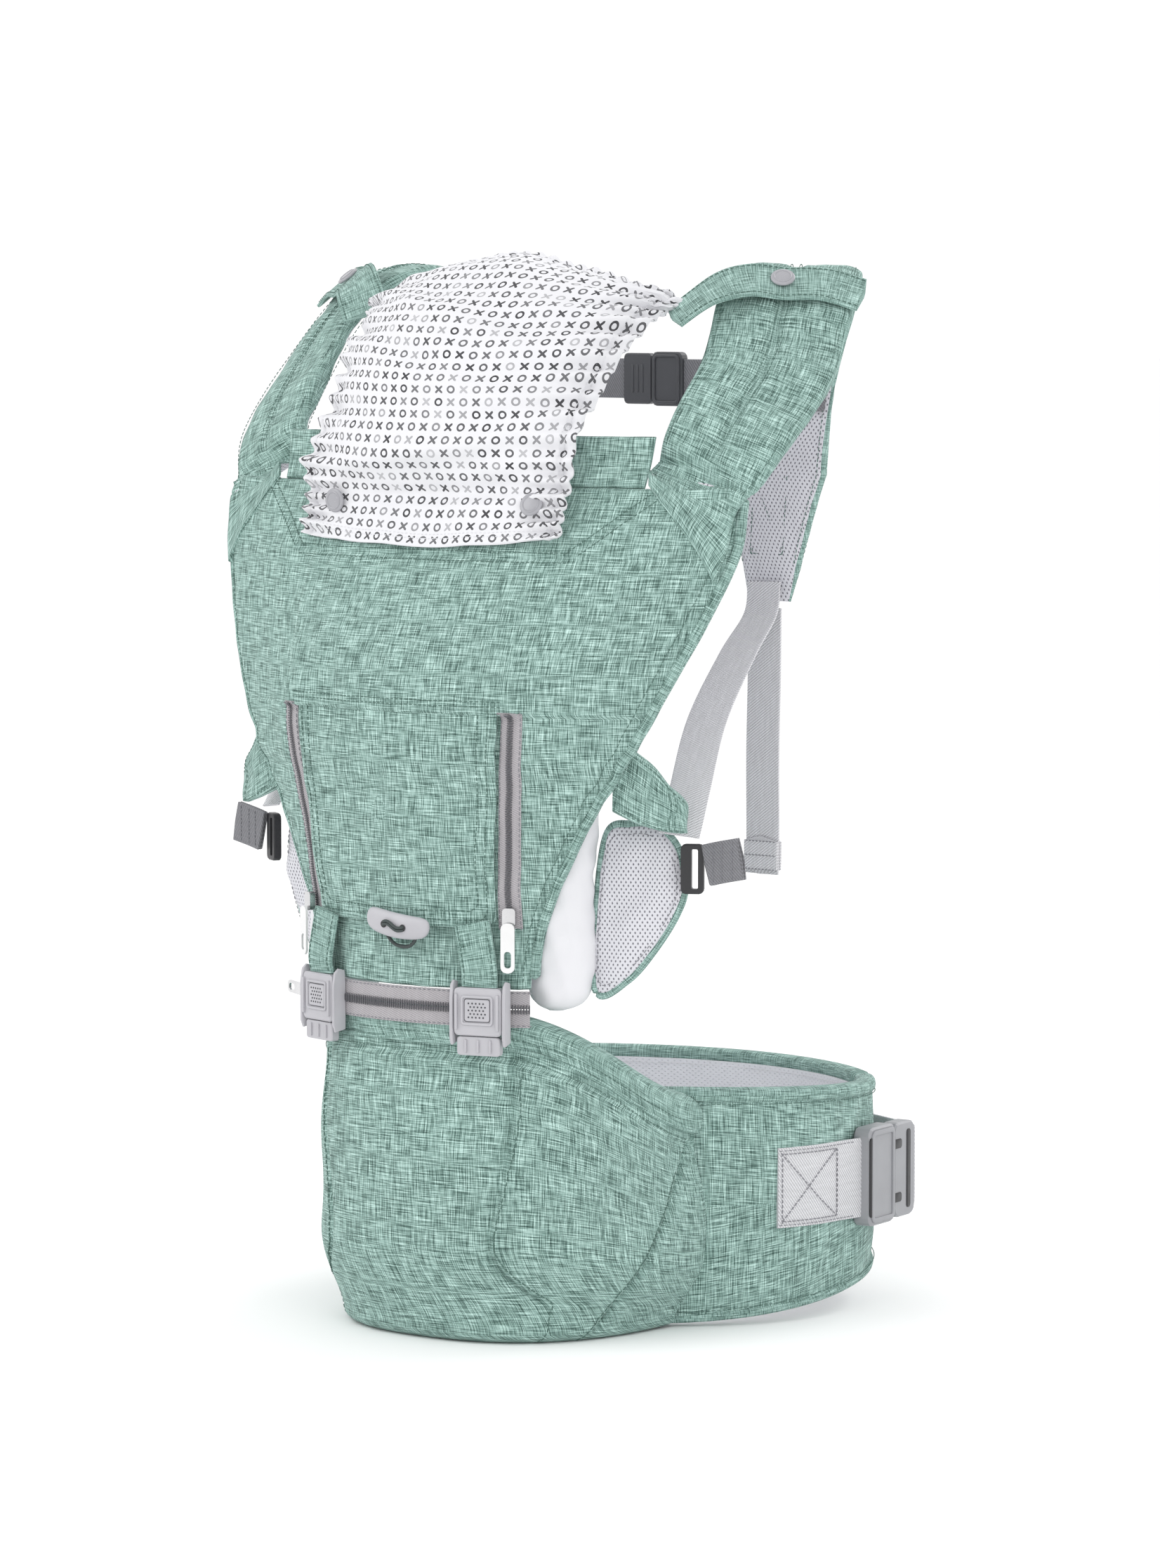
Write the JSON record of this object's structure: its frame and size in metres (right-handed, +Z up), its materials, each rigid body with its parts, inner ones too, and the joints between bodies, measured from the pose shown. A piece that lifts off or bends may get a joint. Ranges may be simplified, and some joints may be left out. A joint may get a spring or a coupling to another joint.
{
  "type": "hip seat baby carrier",
  "caption": "Soft structured baby carrier on a padded hip seat, with padded shoulder straps, waist belt, zipped front panel and fold-down hood.",
  "frame": {"origin": "middle of the seat cover's flat underside, on the plane that the hip seat stands on", "axes": "+Z up; -Y points out of the front face, away from the wearer; +X to the right of someone looking at the front panel"},
  "size_m": [0.43, 0.3934, 0.655],
  "materials": {
    "green_linen": "woven melange",
    "grey_mesh": "open air mesh",
    "white_cotton": "printed cotton",
    "light_webbing": "ribbed webbing",
    "dark_webbing": "ribbed webbing",
    "light_plastic": "moulded acetal",
    "dark_plastic": "moulded acetal",
    "snap_plastic": "polished cap",
    "zip_tape": "twill tape with a nylon coil",
    "zip_metal": "polished die-cast",
    "foam": "expanded foam"
  },
  "bodies": {
    "hip_seat": {"seat_cover": "green_linen", "seat_core": "foam", "seat_top": "green_linen", "belt_right": "green_linen", "belt_left": "green_linen", "belt_lining": "grey_mesh", "waist_webbing_right": "light_webbing", "waist_webbing_left": "light_webbing", "waist_socket": "light_plastic", "waist_plug": "light_plastic", "seat_zip_lower": "zip_tape", "seat_zip_slider": "zip_metal", "front_plug_left": "light_plastic", "front_plug_right": "light_plastic"},
    "carrier": {"front_panel": "green_linen", "head_rest": "green_linen", "panel_lining": "grey_mesh", "centre_flap": "green_linen", "seat_zip_upper": "zip_tape", "side_zip_left": "zip_tape", "side_zip_right": "zip_tape", "buckle_webbing_left": "green_linen", "buckle_webbing_right": "green_linen", "front_buckle_left": "light_plastic", "front_buckle_right": "light_plastic", "wing_left": "green_linen", "wing_right": "green_linen", "leg_flap_left": "grey_mesh", "leg_flap_right": "grey_mesh", "leg_pad_left": "white_cotton", "leg_pad_right": "white_cotton", "wing_buckle_left": "dark_plastic", "wing_buckle_right": "dark_plastic", "wing_tail_left": "dark_webbing", "wing_tail_right": "dark_webbing", "shoulder_strap_left": "green_linen", "shoulder_strap_right": "green_linen", "strap_webbing_left": "light_webbing", "strap_webbing_right": "light_webbing"},
    "seat_zip_tab": {"seat_zip_pull": "zip_metal"},
    "toggle_bar": {"toggle": "light_plastic"},
    "chest_strap": {"chest_socket": "dark_plastic", "chest_plug": "dark_plastic", "chest_webbing_left": "dark_webbing", "chest_webbing_right": "dark_webbing"},
    "hood_cover": {"hood": "white_cotton", "hood_snap_left": "snap_plastic", "hood_snap_right": "snap_plastic", "hood_tab_left": "green_linen", "hood_tab_right": "green_linen", "tab_snap_left": "snap_plastic", "tab_snap_right": "snap_plastic"},
    "front_button_body_right": {"front_button_right": "light_plastic"},
    "side_slider_body_right": {"side_slider_right": "zip_metal"},
    "side_tab_body_right": {"side_pull_right": "zip_metal"},
    "strap_tail_body_right": {"strap_tail_right": "light_webbing"},
    "front_button_body_left": {"front_button_left": "light_plastic"},
    "side_slider_body_left": {"side_slider_left": "zip_metal"},
    "side_tab_body_left": {"side_pull_left": "zip_metal"},
    "strap_tail_body_left": {"strap_tail_left": "light_webbing"}
  },
  "joints": [
    {"name": "carrier_lift", "type": "slide", "parent": "hip_seat", "child": "carrier", "axis": [0, 0, 1], "range_m": [0, 0.15]},
    {"name": "hood_fold", "type": "hinge", "parent": "carrier", "child": "hood_cover", "pos_m": [0, -0.0595, 0.483], "axis": [1, 0, 0], "range_deg": [0, 120]},
    {"name": "chest_height", "type": "slide", "parent": "carrier", "child": "chest_strap", "axis": [0, 0, 1], "range_m": [-0.02, 0.02]},
    {"name": "toggle_turn", "type": "hinge", "parent": "carrier", "child": "toggle_bar", "pos_m": [0.01, -0.087, 0.2552], "axis": [0, -1, 0], "range_deg": [-60, 60]},
    {"name": "seat_zip_tab_swing", "type": "hinge", "parent": "hip_seat", "child": "seat_zip_tab", "pos_m": [-0.08402, -0.06155, 0.2065], "axis": [0, 0, 1], "range_deg": [0, 120]},
    {"name": "front_button_press_right", "type": "slide", "parent": "carrier", "child": "front_button_body_right", "axis": [-0.2607, 0.9654, 0], "range_m": [0, 0.0015], "stiffness_N_per_m": 300},
    {"name": "side_zip_run_right", "type": "slide", "parent": "carrier", "child": "side_slider_body_right", "axis": [0.0788, -0.101, 0.9918], "range_m": [0, 0.1]},
    {"name": "side_tab_swing_right", "type": "hinge", "parent": "side_slider_body_right", "child": "side_tab_body_right", "pos_m": [0.07981, -0.0672, 0.2605], "axis": [-0.9094, -0.4159, 0], "range_deg": [0, 150]},
    {"name": "strap_tail_swing_right", "type": "hinge", "parent": "carrier", "child": "strap_tail_body_right", "pos_m": [0.112, 0.148, 0.44], "axis": [1, 0, 0], "range_deg": [-12, 12]},
    {"name": "front_button_press_left", "type": "slide", "parent": "carrier", "child": "front_button_body_left", "axis": [0.2607, 0.9654, 0], "range_m": [0, 0.0015], "stiffness_N_per_m": 300},
    {"name": "side_zip_run_left", "type": "slide", "parent": "carrier", "child": "side_slider_body_left", "axis": [-0.0788, -0.101, 0.9918], "range_m": [0, 0.1]},
    {"name": "side_tab_swing_left", "type": "hinge", "parent": "side_slider_body_left", "child": "side_tab_body_left", "pos_m": [-0.07981, -0.0672, 0.2605], "axis": [-0.9094, 0.4159, 0], "range_deg": [0, 150]},
    {"name": "strap_tail_swing_left", "type": "hinge", "parent": "carrier", "child": "strap_tail_body_left", "pos_m": [-0.112, 0.148, 0.44], "axis": [1, 0, 0], "range_deg": [-12, 12]}
  ]
}
